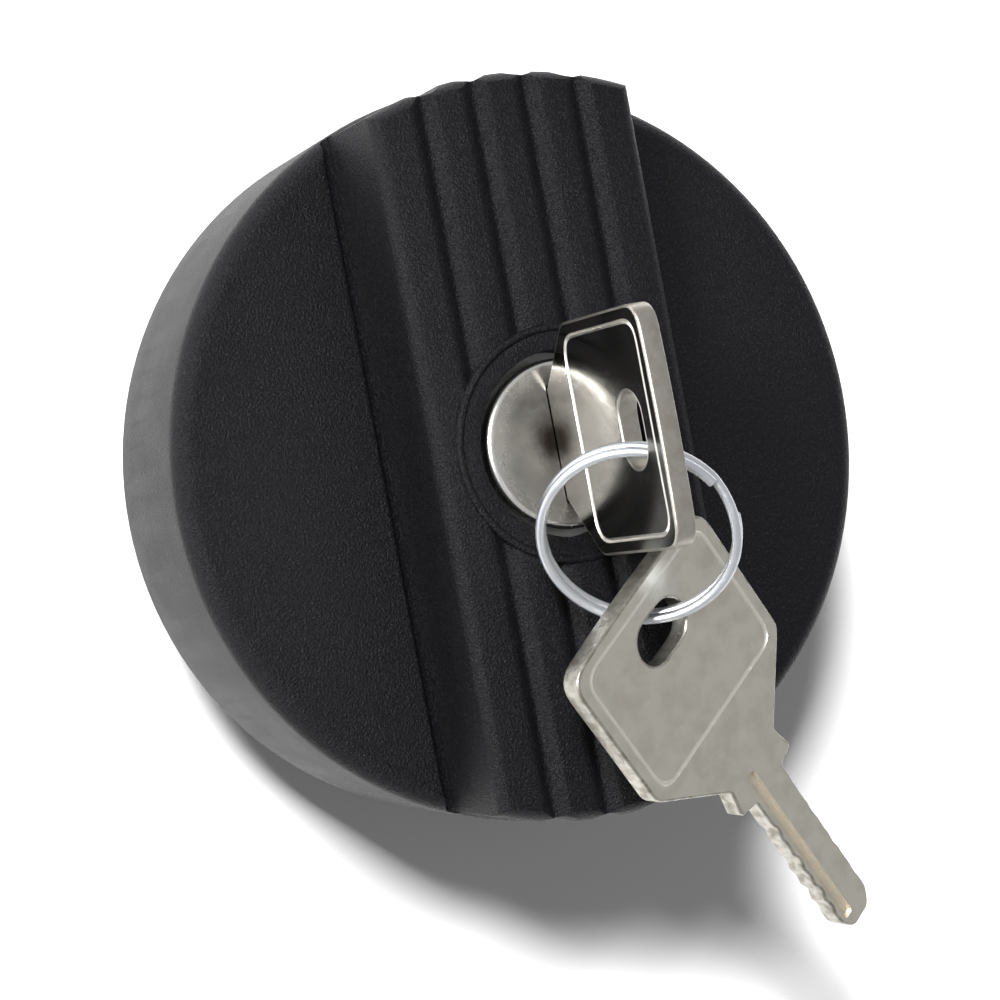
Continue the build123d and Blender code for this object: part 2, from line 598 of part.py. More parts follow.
def screw(at, head_z, tip_z, up=1):
    """A pan head screw pointing up from its head."""
    head = disc(SCREW_HEAD_R, head_z - SCREW_HEAD_H, head_z)
    head = fillet(head.edges().group_by(Axis.Z)[0], 0.6)
    body = head + disc(SCREW_R, head_z - 0.3, tip_z)
    body = chamfer(body.edges().group_by(Axis.Z)[-1], 0.5)
    return Pos(at[0], at[1], 0) * (body - cross_recess(head_z - SCREW_HEAD_H, up))


def make_shell_screws():
    return [screw(at, FLANGE_Z, UNDER_FACE_Z - 0.6) for at in around(SHELL_SCREWS, SHELL_SCREW_PITCH_R, 45)]


def make_carrier_screws():
    return [screw(at, CARRIER_UNDER_Z, DECK_UNDER_Z - SCREW_ROOF - SCREW_TIP_GAP) for at in around(2, CARRIER_SCREW_AT, 90)]


def make_base_screws():
    return [screw(at, BASE_HEAD_Z, BASE_TOP_Z + BASE_SCREW_GRIP) for at in around(BASE_SCREWS, BASE_SCREW_AT)]


# ------------------------------------------------------ base plate, vent valve
def make_base_plate():
    plate = disc(NECK_R, NECK_END_Z, BASE_TOP_Z - 0.01)
    plate = chamfer(plate.edges().group_by(Axis.Z)[0], 0.8)
    plate += tube(VALVE_SEAT_R - 0.6, VALVE_SEAT_R + 0.2, BASE_TOP_Z - 0.5, VALVE_SEAT_TOP_Z)
    for at in around(BASE_SCREWS, BASE_SCREW_AT):
        plate -= disc(SCREW_R + 0.15, NECK_END_Z - 1, BASE_TOP_Z + 1, at)
        plate -= disc(SCREW_HEAD_R + 0.2, NECK_END_Z - 1, BASE_HEAD_Z, at)
    for at in around(VENT_HOLES, VENT_PITCH_R):
        plate -= disc(VENT_R, NECK_END_Z - 1, BASE_TOP_Z + 1, at)
    return plate


def make_valve_housing():
    """A turned cup over the valve, vented through its top, with a guide for the stem."""
    body = disc(VALVE_R, BASE_TOP_Z, VALVE_TOP_Z)
    body -= disc(VALVE_R - VALVE_WALL, BASE_TOP_Z - 1, VALVE_CEILING_Z)
    body -= disc(VALVE_STEM_R + FIT, BASE_TOP_Z, VALVE_TOP_Z + 1)
    for at in around(4, VALVE_PORT_AT, 45):
        body -= disc(VALVE_PORT_R, VALVE_CEILING_Z - 1, VALVE_TOP_Z + 1, at)
    return body


def make_valve_disc():
    body = disc(VALVE_DISC_R, VALVE_DISC_Z, VALVE_DISC_TOP_Z)
    return body + disc(VALVE_STEM_R, VALVE_DISC_Z, VALVE_TOP_Z + 0.3)


def make_valve_seal():
    return disc(VALVE_DISC_R - 0.2, VALVE_SEAT_TOP_Z + 0.02, VALVE_DISC_Z)


def make_valve_spring():
    return coil(VALVE_SPRING_R, VALVE_WIRE_R, VALVE_DISC_TOP_Z + 0.02, VALVE_CEILING_Z - 0.02, VALVE_COILS)


# ---------------------------------------------------------------- keys and ring
def key_outline():
    """One side of the key's outline, from the bow's shoulder to the blade's tip."""
    return [(KEY_SHOULDER_AT, KEY_BOW_W / 2), (KEY_NECK_AT, KEY_NECK_HALF), (KEY_TAB_AT, KEY_TAB_HALF),
            ((KEY_TAB_AT + KEY_BLADE_AT) / 2, KEY_TAB_HALF - KEY_EDGE), (KEY_BLADE_AT, KEY_BLADE_HALF),
            (KEY_TIP_AT - KEY_TIP_L, KEY_BLADE_HALF), (KEY_TIP_AT, KEY_TIP_HALF)]


def oblong(at, across, along, grow=0.0):
    """The bow's ring hole, longer across the key than along it."""
    return Pos(at, 0) * Rot(Z=90) * SlotOverall(across + grow, along + grow)


def make_flat_key():
    """A key in its own plane: x runs from the bow's outer end to the tip, z is the face."""
    half = KEY_BOW_W / 2
    upper = key_outline()
    lower = [(x, -y) for x, y in reversed(upper)]
    sides = Polyline((KEY_END_SAG, half), *upper, *lower, (KEY_END_SAG, -half))
    face = make_face(sides + ThreePointArc((KEY_END_SAG, -half), (0, 0), (KEY_END_SAG, half)))
    face = fillet([v for v in face.vertices() if v.X < KEY_END_SAG + 0.1], KEY_CORNER_R)
    shoulders = [v for v in face.vertices() if abs(v.X - KEY_SHOULDER_AT) < 0.1]
    face = fillet(shoulders, KEY_CORNER_R * 0.6)
    split = Rectangle(KEY_TIP_AT, KEY_BOW_W + 2, align=(Align.MAX, Align.CENTER))
    bow_part = face & Pos(KEY_BLADE_AT - KEY_EDGE, 0) * split
    blade_part = face & Pos(KEY_BLADE_AT - KEY_EDGE - KEY_EDGE / 10 + KEY_TIP_AT, 0) * split
    key = extrude(bow_part - oblong(KEY_HOLE_AT, KEY_HOLE_W, KEY_HOLE_H), KEY_T / 2, both=True)
    faces = key.faces().sort_by(Axis.Z)
    key = chamfer(faces[0].edges() + faces[-1].edges(), KEY_EDGE)
    key += extrude(blade_part, KEY_BLADE_T / 2, both=True)

    rim = KEY_PANEL_RIM
    panel_l = KEY_PANEL_END - rim
    panel = Pos(rim + panel_l / 2, 0) * RectangleRounded(panel_l, KEY_BOW_W - 2 * rim, KEY_CORNER_R - 0.9)
    panel -= oblong(KEY_HOLE_AT, KEY_HOLE_W, KEY_HOLE_H, 0.01)
    for side in (1, -1):
        low = KEY_T / 2 - KEY_PANEL_DEPTH if side > 0 else -KEY_T / 2 - 1
        key -= extrude(Pos(0, 0, low) * panel, KEY_PANEL_DEPTH + 1)
        off = -side * KEY_GROOVE_OFF
        groove = block((KEY_NECK_AT + KEY_GROOVE_DEPTH, KEY_TIP_AT + 1), (off - KEY_GROOVE_W / 2, off + KEY_GROOVE_W / 2),
                       sorted((side * (KEY_BLADE_T / 2 - KEY_GROOVE_DEPTH), side * 3)))
        key -= groove
    for i, cut in enumerate(KEY_CUTS):
        at = KEY_OUT_Z - WAFER_ZS[i]
        for side, depth in ((1, cut), (-1, KEY_CUTS[-1 - i])):
            y = side * KEY_BLADE_HALF
            tri = make_face(Polyline((at - KEY_CUT_W / 2 - depth, y), (at - KEY_CUT_W / 2, y - side * depth),
                                     (at + KEY_CUT_W / 2, y - side * depth),
                                     (at + KEY_CUT_W / 2 + depth, y), close=True))
            key -= extrude(tri, KEY_T, both=True)
    return key


LOCK_KEY_PLANE = Plane(origin=(0, 0, KEY_OUT_Z), x_dir=(0, 0, -1), z_dir=(-1, 0, 0))
SPARE_KEY_PLANE = Plane(origin=SPARE_HOLE - SPARE_ALONG * KEY_HOLE_AT, x_dir=SPARE_ALONG,
                        z_dir=SPARE_ALONG.cross(SPARE_ACROSS))


def make_split_ring():
    """Two turns of wire, each an open loop, joined by a short jog from one level to the other."""
    level = RING_WIRE_R + RING_GAP / 2
    jog = radians(RING_JOG_DEG)
    section = Plane.XZ * Pos(RING_R, 0) * Circle(RING_WIRE_R)
    turn = revolve(section, Axis.Z, 360 - RING_JOG_DEG)
    upper = Pos(0, 0, level) * Rot(Z=RING_JOG_DEG) * turn
    lower = Pos(0, 0, -level) * Rot(Z=RING_JOG_DEG) * turn
    start = Vector(RING_R, 0, level)
    end = Vector(RING_R * cos(jog), RING_R * sin(jog), -level)
    run = end - start
    jog_bar = Plane(origin=(start + end) * 0.5, z_dir=run) * Cylinder(RING_WIRE_R, run.length)
    cutter = Box(6 * RING_WIRE_R, 3.4 * RING_WIRE_R, 2.3 * RING_WIRE_R)
    loops = (upper - Rot(Z=RING_JOG_DEG) * Pos(RING_R, RING_WIRE_R * 1.7, level) * cutter) + (
        lower - Pos(RING_R, -RING_WIRE_R * 1.7, -level) * cutter)
    ring = loops + jog_bar + Pos(start) * Sphere(RING_WIRE_R) + Pos(end) * Sphere(RING_WIRE_R)
    return Plane(origin=RING_CENTRE, z_dir=RING_AXIS) * ring


# ------------------------------------------------------------------ all the nodes
def all_nodes():
    flat_key = make_flat_key()
    nodes = {
        "outer_shell": make_outer_shell(),
        "seal_plate": make_seal_plate(),
        "closure_body": make_closure_body(),
        "gasket": make_gasket(),
        "lock_housing": make_lock_housing(),
        "lock_plug": make_lock_plug(),
        "lock_face_cover": make_lock_cover(),
        "dust_shutter": make_dust_shutter(),
        "shutter_pin": make_shutter_pin(),
        "shutter_spring": make_shutter_spring(),
        "plug_o_ring": make_o_ring(),
        "plug_circlip": make_plug_clip(),
        "lock_cam": make_lock_cam(),
        "cam_screw": make_cam_screw(),
        "bolt_carrier": make_bolt_carrier(),
        "shell_screws": make_shell_screws(),
        "carrier_screws": make_carrier_screws(),
        "base_plate": make_base_plate(),
        "base_screws": make_base_screws(),
        "valve_housing": make_valve_housing(),
        "valve_disc": make_valve_disc(),
        "valve_seal": make_valve_seal(),
        "valve_spring": make_valve_spring(),
        "lock_key": LOCK_KEY_PLANE * flat_key,
        "spare_key": SPARE_KEY_PLANE * flat_key,
        "split_ring": make_split_ring(),
    }
    for i, turn in enumerate((0, 180), 1):
        nodes[f"lock_bolt_{i}"] = make_lock_bolt(turn)
    for i in range(WAFERS):
        nodes[f"wafer_{i + 1}"] = make_wafer(i)
        nodes[f"wafer_spring_{i + 1}"] = make_wafer_spring(i)
    return nodes


for name, shape in all_nodes().items():
    if isinstance(shape, list):
        shape = Compound(children=shape)
    export_step(shape, f"parts/{name}.step")
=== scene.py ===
"""A locking fuel filler cap with a key in its lock and a second key on a split ring."""

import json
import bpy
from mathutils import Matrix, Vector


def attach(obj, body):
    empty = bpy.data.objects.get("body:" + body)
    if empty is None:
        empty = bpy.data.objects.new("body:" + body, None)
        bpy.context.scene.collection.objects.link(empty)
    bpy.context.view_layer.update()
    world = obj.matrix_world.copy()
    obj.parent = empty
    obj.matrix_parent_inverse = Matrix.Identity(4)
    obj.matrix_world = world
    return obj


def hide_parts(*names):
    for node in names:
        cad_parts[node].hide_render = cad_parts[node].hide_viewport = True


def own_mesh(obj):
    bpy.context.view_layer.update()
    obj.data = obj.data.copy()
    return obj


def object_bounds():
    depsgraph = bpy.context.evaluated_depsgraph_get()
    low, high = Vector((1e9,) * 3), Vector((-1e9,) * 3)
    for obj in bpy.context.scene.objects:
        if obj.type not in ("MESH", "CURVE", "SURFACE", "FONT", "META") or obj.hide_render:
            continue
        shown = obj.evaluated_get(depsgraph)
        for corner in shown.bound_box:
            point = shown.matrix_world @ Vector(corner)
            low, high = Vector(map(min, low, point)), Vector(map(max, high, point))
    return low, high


bl_info = {
    "name": "Fuel Filler Cap",
    "version": (1, 0, 0),
    "blender": (4, 5, 0),
    "location": "View3D > Sidebar > Filler Cap",
    "description": "Dresses the packed filler cap: ribbed shell, key lock, keys, split ring and stage",
    "category": "Object",
}
from math import cos, pi, radians, sin, tau

import bmesh
import bpy
from mathutils import Matrix, Vector
from mathutils.geometry import tessellate_polygon

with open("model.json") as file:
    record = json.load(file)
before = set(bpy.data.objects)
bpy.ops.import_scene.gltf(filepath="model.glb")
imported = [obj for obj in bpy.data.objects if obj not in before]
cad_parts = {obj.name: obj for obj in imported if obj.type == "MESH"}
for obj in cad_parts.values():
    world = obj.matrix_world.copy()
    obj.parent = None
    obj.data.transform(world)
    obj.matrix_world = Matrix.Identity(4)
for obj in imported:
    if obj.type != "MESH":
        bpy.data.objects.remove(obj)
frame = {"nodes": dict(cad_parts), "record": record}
cad_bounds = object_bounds()

MM = 0.001

# Sizes of the keys in millimetres; lengths run along a key from its bow's outer end
KEY_OUT_Z = 47.2
HOLE_AT, HOLE_ACROSS, HOLE_ALONG = 6.0, 7.8, 5.1
PANEL_FROM, PANEL_TO, PANEL_RIM, PANEL_CORNER = 1.25, 18.5, 1.3, 2.7
GROOVE_BOX = (26.4, 49.6, -2.0, -0.6, 0.6)
GROOVE_SLOPE, GROOVE_DEPTH = 0.2, 0.45
CUTS = (0.25, 0.38, 0.2, 0.38, 0.15, 0.32)
SHALLOW_SIDE = 0.35
BOW_TRIM = {"key_in_lock": 0.6, "key_on_ring": 0.2}
GROOVE_STARTS_AT = 26

# The bead round the lock's collar, in millimetres
BEAD_Z, BEAD_R, BEAD_WIRE = 23.12, 12.36, 0.45

# The split ring's turns in degrees: where the wire starts, how far it runs, and where it steps over itself
RING_START, RING_SWEEP = 28, 692
RING_STEP = (332, 360)


# ------------------------------------------------------------------ settings
class KeySettings(bpy.types.PropertyGroup):
    """Sizes of both keys."""
    thickness: bpy.props.FloatProperty(name="Thickness", description="Thickness of the key's bow and blade",
                                       default=2.3 * MM, unit="LENGTH")
    bow: bpy.props.FloatProperty(name="Bow half width", description="Half the width of the key's bow",
                                 default=12.9 * MM, unit="LENGTH")
    edge: bpy.props.FloatProperty(name="Edge radius", description="Rounding of the key's stamped edges",
                                  default=0.3 * MM, unit="LENGTH")
    panel_depth: bpy.props.FloatProperty(name="Panel depth", default=0.06 * MM, unit="LENGTH",
                                         description="Depth of the coined panel in the bow")


class RingSettings(bpy.types.PropertyGroup):
    """Sizes of the split ring."""
    radius: bpy.props.FloatProperty(name="Radius", description="Radius to the middle of the wire",
                                    default=10.0 * MM, unit="LENGTH")
    wire: bpy.props.FloatProperty(name="Wire radius", description="Radius of the ring's wire",
                                  default=0.525 * MM, unit="LENGTH")


class FinishSettings(bpy.types.PropertyGroup):
    """Colours that a user would change."""
    shell: bpy.props.FloatVectorProperty(name="Shell", description="Colour of the moulded shell",
                                         subtype="COLOR", size=3, default=(0.0028, 0.0028, 0.0034),
                                         min=0, max=1)
    floor: bpy.props.FloatVectorProperty(name="Floor", description="Colour of the floor", subtype="COLOR",
                                         size=3, default=(0.9, 0.9, 0.9), min=0, max=1)


# ----------------------------------------------------------- nodes and finishes
def new_group(name, inputs, outputs):
    """A shader group with float or colour sockets, ready for its nodes."""
    group = bpy.data.node_groups.new(name, "ShaderNodeTree")
    for label, kind, value in inputs:
        socket = group.interface.new_socket(label, in_out="INPUT", socket_type=kind)
        socket.default_value = value
    for label, kind in outputs:
        group.interface.new_socket(label, in_out="OUTPUT", socket_type=kind)
    return group, group.nodes.new("NodeGroupInput"), group.nodes.new("NodeGroupOutput")


def math_node(tree, operation, a, b=None, c=None):
    """One Math node, fed with sockets or plain numbers."""
    node = tree.nodes.new("ShaderNodeMath")
    node.operation = operation
    for slot, value in enumerate((a, b, c)):
        if value is None:
            continue
        if isinstance(value, (int, float)):
            node.inputs[slot].default_value = value
        else:
            tree.links.new(value, node.inputs[slot])
    return node.outputs[0]


def noise_node(tree, vector, scale, detail=2.0, roughness=0.5):
    """One Noise node's factor, fed with sockets or plain numbers."""
    node = tree.nodes.new("ShaderNodeTexNoise")
    for label, value in (("Scale", scale), ("Detail", detail), ("Roughness", roughness)):
        if isinstance(value, (int, float)):
            node.inputs[label].default_value = value
        else:
            tree.links.new(value, node.inputs[label])
    tree.links.new(vector, node.inputs["Vector"])
    return node.outputs["Fac"]


def ramp(tree, value, low, high):
    """A smooth step from 0 to 1 between two values."""
    node = tree.nodes.new("ShaderNodeMapRange")
    node.interpolation_type = "SMOOTHSTEP"
    node.inputs["From Min"].default_value = low
    node.inputs["From Max"].default_value = high
    tree.links.new(value, node.inputs["Value"])
    return node.outputs["Result"]


def build_grain_group():
    """Spark-eroded grain: a height for the bump, and masks of its bright high spots and dull patches."""
    group, source, sink = new_group("moulded grain", [("Vector", "NodeSocketVector", (0, 0, 0)),
                                                      ("Scale", "NodeSocketFloat", 2600.0)],
                                    [("Height", "NodeSocketFloat"), ("High Spots", "NodeSocketFloat"),
                                     ("Mottle", "NodeSocketFloat")])
    place, scale = source.outputs["Vector"], source.outputs["Scale"]
    fine = noise_node(group, place, scale, 2.0, 0.6)
    finer = noise_node(group, place, math_node(group, "MULTIPLY", scale, 2.3), 1.0)
    wide = noise_node(group, place, math_node(group, "MULTIPLY", scale, 0.05), 3.0)
    height = math_node(group, "MULTIPLY_ADD", finer, 0.5, fine)
    group.links.new(height, sink.inputs["Height"])
    group.links.new(ramp(group, height, 0.72, 0.98), sink.inputs["High Spots"])
    group.links.new(ramp(group, wide, 0.3, 0.7), sink.inputs["Mottle"])
    return group


def build_scuff_group():
    """Fine handling scratches and dull patches on metal."""
    group, source, sink = new_group("handling scuffs", [("Vector", "NodeSocketVector", (0, 0, 0)),
                                                        ("Scale", "NodeSocketFloat", 900.0),
                                                        ("Stretch", "NodeSocketFloat", 14.0)],
                                    [("Scratches", "NodeSocketFloat"), ("Patches", "NodeSocketFloat"),
                                     ("Height", "NodeSocketFloat")])
    split = group.nodes.new("ShaderNodeSeparateXYZ")
    join = group.nodes.new("ShaderNodeCombineXYZ")
    group.links.new(source.outputs["Vector"], split.inputs[0])
    stretched = math_node(group, "MULTIPLY", split.outputs["X"], source.outputs["Stretch"])
    group.links.new(stretched, join.inputs["X"])
    group.links.new(split.outputs["Y"], join.inputs["Y"])
    group.links.new(split.outputs["Z"], join.inputs["Z"])
    lines = noise_node(group, join.outputs[0], source.outputs["Scale"], 4.0, 0.7)
    coarse = math_node(group, "MULTIPLY", source.outputs["Scale"], 0.35)
    patches = noise_node(group, source.outputs["Vector"], coarse, 4.0)
    group.links.new(ramp(group, lines, 0.52, 0.75), sink.inputs["Scratches"])
    group.links.new(ramp(group, patches, 0.35, 0.7), sink.inputs["Patches"])
    group.links.new(lines, sink.inputs["Height"])
    return group


GROUPS = {}


def shared(name):
    """The shared shader group of that name, built on first use."""
    if name not in GROUPS:
        GROUPS[name] = {"grain": build_grain_group, "scuffs": build_scuff_group}[name]()
    return GROUPS[name]


def mix_colour(tree, factor, first, second):
    """A mix of two colours, each a socket or a plain colour."""
    node = tree.nodes.new("ShaderNodeMix")
    node.data_type = "RGBA"
    tree.links.new(factor, node.inputs["Factor"])
    for label, value in (("A", first), ("B", second)):
        socket = [s for s in node.inputs if s.name == label and s.type == "RGBA"][0]
        if isinstance(value, tuple):
            socket.default_value = (*value, 1)
        else:
            tree.links.new(value, socket)
    return [s for s in node.outputs if s.type == "RGBA"][0]


def start_material(name, colour, roughness, metallic=0.0, specular=0.5):
    """A material with its Principled shader, and an Object coordinate to hang patterns on."""
    material = bpy.data.materials.new(name)
    material.use_nodes = True
    tree = material.node_tree
    shader = tree.nodes["Principled BSDF"]
    shader.inputs["Base Color"].default_value = (*colour, 1)
    shader.inputs["Roughness"].default_value = roughness
    shader.inputs["Metallic"].default_value = metallic
    shader.inputs["Specular IOR Level"].default_value = specular
    material.diffuse_color = (*colour, 1)
    place = tree.nodes.new("ShaderNodeTexCoord").outputs["Object"]
    return material, tree, shader, place


def add_bump(tree, shader, height, distance):
    """Raises the shader's surface by a height pattern."""
    bump = tree.nodes.new("ShaderNodeBump")
    bump.inputs["Distance"].default_value = distance
    bump.inputs["Strength"].default_value = 1.0
    tree.links.new(height, bump.inputs["Height"])
    tree.links.new(bump.outputs["Normal"], shader.inputs["Normal"])


def grained_plastic(name, colour, fleck, roughness, scale, depth, specular=0.35):
    """Moulded plastic with an eroded grain whose high spots are worn a little paler."""
    material, tree, shader, place = start_material(name, colour, roughness, 0.0, specular)
    grain = tree.nodes.new("ShaderNodeGroup")
    grain.node_tree = shared("grain")
    grain.inputs["Scale"].default_value = scale
    tree.links.new(place, grain.inputs["Vector"])
    flecked = mix_colour(tree, grain.outputs["High Spots"], colour, fleck)
    tree.links.new(flecked, shader.inputs["Base Color"])
    rough = math_node(tree, "MULTIPLY_ADD", grain.outputs["Mottle"], 0.04, roughness - 0.02)
    tree.links.new(rough, shader.inputs["Roughness"])
    add_bump(tree, shader, grain.outputs["Height"], depth)
    return material


def worked_metal(name, colour, shade, roughness, scale, stretch, depth, spread=0.16):
    """Plated or bare metal with fine scratches, dull patches and a slight stain."""
    material, tree, shader, place = start_material(name, colour, roughness, 1.0)
    scuffs = tree.nodes.new("ShaderNodeGroup")
    scuffs.node_tree = shared("scuffs")
    scuffs.inputs["Scale"].default_value = scale
    scuffs.inputs["Stretch"].default_value = stretch
    tree.links.new(place, scuffs.inputs["Vector"])
    tree.links.new(mix_colour(tree, scuffs.outputs["Patches"], colour, shade), shader.inputs["Base Color"])
    worn = math_node(tree, "MULTIPLY_ADD", scuffs.outputs["Scratches"], spread, roughness)
    worn = math_node(tree, "MULTIPLY_ADD", scuffs.outputs["Patches"], spread * 0.5, worn)
    tree.links.new(worn, shader.inputs["Roughness"])
    add_bump(tree, shader, scuffs.outputs["Height"], depth)
    return material


def lock_face_metal():
    """The drawn steel face of the lock: a painted highlight round its rim, painted light that grows lighter
    towards one side, a painted highlight spot and a painted warm glint; dull in the middle and stained round
    the slot.
    """
    material, tree, shader, place = start_material("satin steel lock face", (0.4, 0.39, 0.38), 0.3, 1.0)
    scuffs = tree.nodes.new("ShaderNodeGroup")
    scuffs.node_tree = shared("scuffs")
    scuffs.inputs["Scale"].default_value = 700.0
    scuffs.inputs["Stretch"].default_value = 1.6
    tree.links.new(place, scuffs.inputs["Vector"])
    flat = tree.nodes.new("ShaderNodeVectorMath")
    flat.operation = "MULTIPLY"
    flat.inputs[1].default_value = (1, 1, 0)
    tree.links.new(place, flat.inputs[0])

    def reach(spot):
        """Distance from a spot on the face."""
        away = tree.nodes.new("ShaderNodeVectorMath")
        away.operation = "DISTANCE"
        away.inputs[1].default_value = spot
        tree.links.new(flat.outputs[0], away.inputs[0])
        return away.outputs["Value"]

    # Dull and a little rougher in the middle; round the rim the colour is a painted highlight instead.
    middle = ramp(tree, reach((0, 0, 0)), 0.0088, 0.0062)
    blotch = math_node(tree, "MULTIPLY_ADD", scuffs.outputs["Patches"], 0.4, 0.5)
    dull = math_node(tree, "MULTIPLY", middle, blotch)
    # Painted light and shade: the face is coloured lighter towards its -X, -Y side and darker away from it.
    leaning = tree.nodes.new("ShaderNodeVectorMath")
    leaning.operation = "DOT_PRODUCT"
    leaning.inputs[1].default_value = (-0.85, -0.5, 0)
    tree.links.new(flat.outputs[0], leaning.inputs[0])
    painted_side_light = mix_colour(tree, ramp(tree, leaning.outputs["Value"], -0.003, 0.0095), (0.12, 0.116, 0.11),
                        (0.48, 0.47, 0.455))
    # Painted highlight round the rim, painted side light in the middle.
    tone = mix_colour(tree, dull, (0.8, 0.79, 0.77), painted_side_light)
    # A painted highlight: a soft lighter spot on the face.
    painted_highlight_spot = math_node(tree, "MULTIPLY", ramp(tree, reach((-0.0038, -0.0016, 0)), 0.0024, 0.0002), 0.4)
    tone = mix_colour(tree, painted_highlight_spot, tone, (0.8, 0.78, 0.75))
    ragged = math_node(tree, "MULTIPLY_ADD", scuffs.outputs["Height"], 0.002, reach((-0.0013, 0.0006, 0)))
    stain = math_node(tree, "MULTIPLY", ramp(tree, ragged, 0.0046, 0.0016), 0.93)
    tone = mix_colour(tree, stain, tone, (0.03, 0.021, 0.014))
    # A painted warm glint beside the slot.
    glint = ramp(tree, reach((-0.0006, -0.0019, 0)), 0.0009, 0.0003)
    tree.links.new(mix_colour(tree, glint, tone, (0.85, 0.66, 0.48)), shader.inputs["Base Color"])
    worn = math_node(tree, "MULTIPLY_ADD", scuffs.outputs["Scratches"], 0.05, 0.25)
    tree.links.new(math_node(tree, "MULTIPLY_ADD", dull, 0.05, worn), shader.inputs["Roughness"])
    add_bump(tree, shader, scuffs.outputs["Height"], 0.000003)
    return material


# Each finish: its maker, the material's name, its two colours and the maker's other values
FINISH_TABLE = {
    "closure_plastic": (grained_plastic, "black moulded closure", (0.018, 0.018, 0.02), (0.03, 0.03, 0.033),
                        0.42, 1400.0, 0.00003),
    "gasket_rubber": (grained_plastic, "black gasket rubber", (0.014, 0.014, 0.014), (0.03, 0.03, 0.03),
                      0.7, 3000.0, 0.00003),
    "valve_plastic": (grained_plastic, "white valve plastic", (0.7, 0.7, 0.67), (0.75, 0.75, 0.73),
                      0.4, 1200.0, 0.00002),
    "lock_zinc": (worked_metal, "die-cast lock housing", (0.55, 0.55, 0.54), (0.45, 0.45, 0.44),
                  0.45, 1500.0, 1.0, 0.00002),
    "plug_zinc": (worked_metal, "die-cast plug", (0.5, 0.49, 0.47), (0.38, 0.37, 0.35),
                  0.42, 1500.0, 3.0, 0.00002),
    "satin_steel": (lock_face_metal,),
    "spring_steel": (worked_metal, "drawn spring steel", (0.55, 0.55, 0.56), (0.42, 0.42, 0.43),
                     0.3, 2500.0, 1.0, 0.00001),
    "screw_zinc": (worked_metal, "zinc-plated screw", (0.6, 0.62, 0.66), (0.5, 0.52, 0.55),
                   0.32, 2000.0, 1.0, 0.00001),
    "bolt_steel": (worked_metal, "machined bolt steel", (0.5, 0.5, 0.51), (0.4, 0.4, 0.41),
                   0.3, 1800.0, 8.0, 0.00001),
    "wafer_brass": (worked_metal, "stamped brass", (0.72, 0.53, 0.26), (0.6, 0.42, 0.2),
                    0.3, 2000.0, 2.0, 0.00001),
    "key_bright": (worked_metal, "polished nickel key", (0.28, 0.265, 0.24), (0.23, 0.22, 0.195),
                   0.13, 500.0, 2.0, 0.000003, 0.07),
    "key_bright_edge": (worked_metal, "brushed nickel edge", (0.5, 0.475, 0.43), (0.4, 0.375, 0.33),
                        0.36, 2200.0, 1.0, 0.00003),
    "key_satin": (worked_metal, "worn satin nickel key", (0.71, 0.68, 0.605), (0.6, 0.57, 0.505),
                  0.32, 1100.0, 1.0, 0.00002),
    "key_satin_edge": (worked_metal, "speckled nickel edge", (0.5, 0.48, 0.43), (0.28, 0.26, 0.22),
                       0.32, 2600.0, 1.0, 0.00006),
    # The panel's border slopes: burnished metal, coloured brighter still as a painted highlight.
    "key_line": (worked_metal, "burnished stamped line with painted highlight", (0.92, 0.89, 0.82), (0.84, 0.81, 0.74),
                 0.28, 1500.0, 1.0, 0.0),
    "key_groove": (worked_metal, "brass showing in the groove", (0.74, 0.68, 0.56), (0.66, 0.61, 0.52),
                   0.55, 1500.0, 1.0, 0.00002),
    "ring_zinc": (worked_metal, "bluish zinc wire", (0.78, 0.81, 0.86), (0.68, 0.71, 0.76),
                  0.36, 1300.0, 1.0, 0.000004),
}
FINISHES = {}


def finish_of(name):
    """The finish of that name, made on first use."""
    if name not in FINISHES:
        if name == "black_shell":
            shell = tuple(bpy.context.scene.cap_finish.shell)
            FINISHES[name] = grained_plastic("black spark-eroded shell", shell, (0.0095, 0.0095, 0.0135),
                                             0.44, 3500.0, 0.00021, 0.175)
        else:
            maker, *values = FINISH_TABLE[name]
            FINISHES[name] = maker(*values)
    return FINISHES[name]


# ----------------------------------------------------------------- mesh helpers
def into_object(name, mesh):
    """A new object in the scene that holds the mesh."""
    obj = bpy.data.objects.new(name, mesh)
    bpy.context.scene.collection.objects.link(obj)
    return obj


def finish_mesh(mesh, angle=35.0):
    """Smooth shading, broken where two faces meet at more than the angle."""
    mesh.polygons.foreach_set("use_smooth", [True] * len(mesh.polygons))
    mesh.set_sharp_from_angle(angle=radians(angle))
    mesh.update()


def dress(obj, body, slot, finishes, *nodes):
    """Gives a finished piece its materials and its body, and hides the nodes that it stands for."""
    for name in finishes:
        obj.data.materials.append(finish_of(name))
    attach(obj, body)
    if nodes:
        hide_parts(*nodes)
    return obj


def node_slot(node):
    """The material slot that the record gives a node."""
    for part in frame["record"]["subparts"]:
        if part["node"] == node:
            return part["material_slot"]
    raise ValueError(f"no slot for {node}")


def node_body(node):
    """The body that carries a node."""
    for body, nodes in frame["record"]["behaviour"]["bodies"].items():
        if node in nodes:
            return body
    raise ValueError(f"no body for {node}")


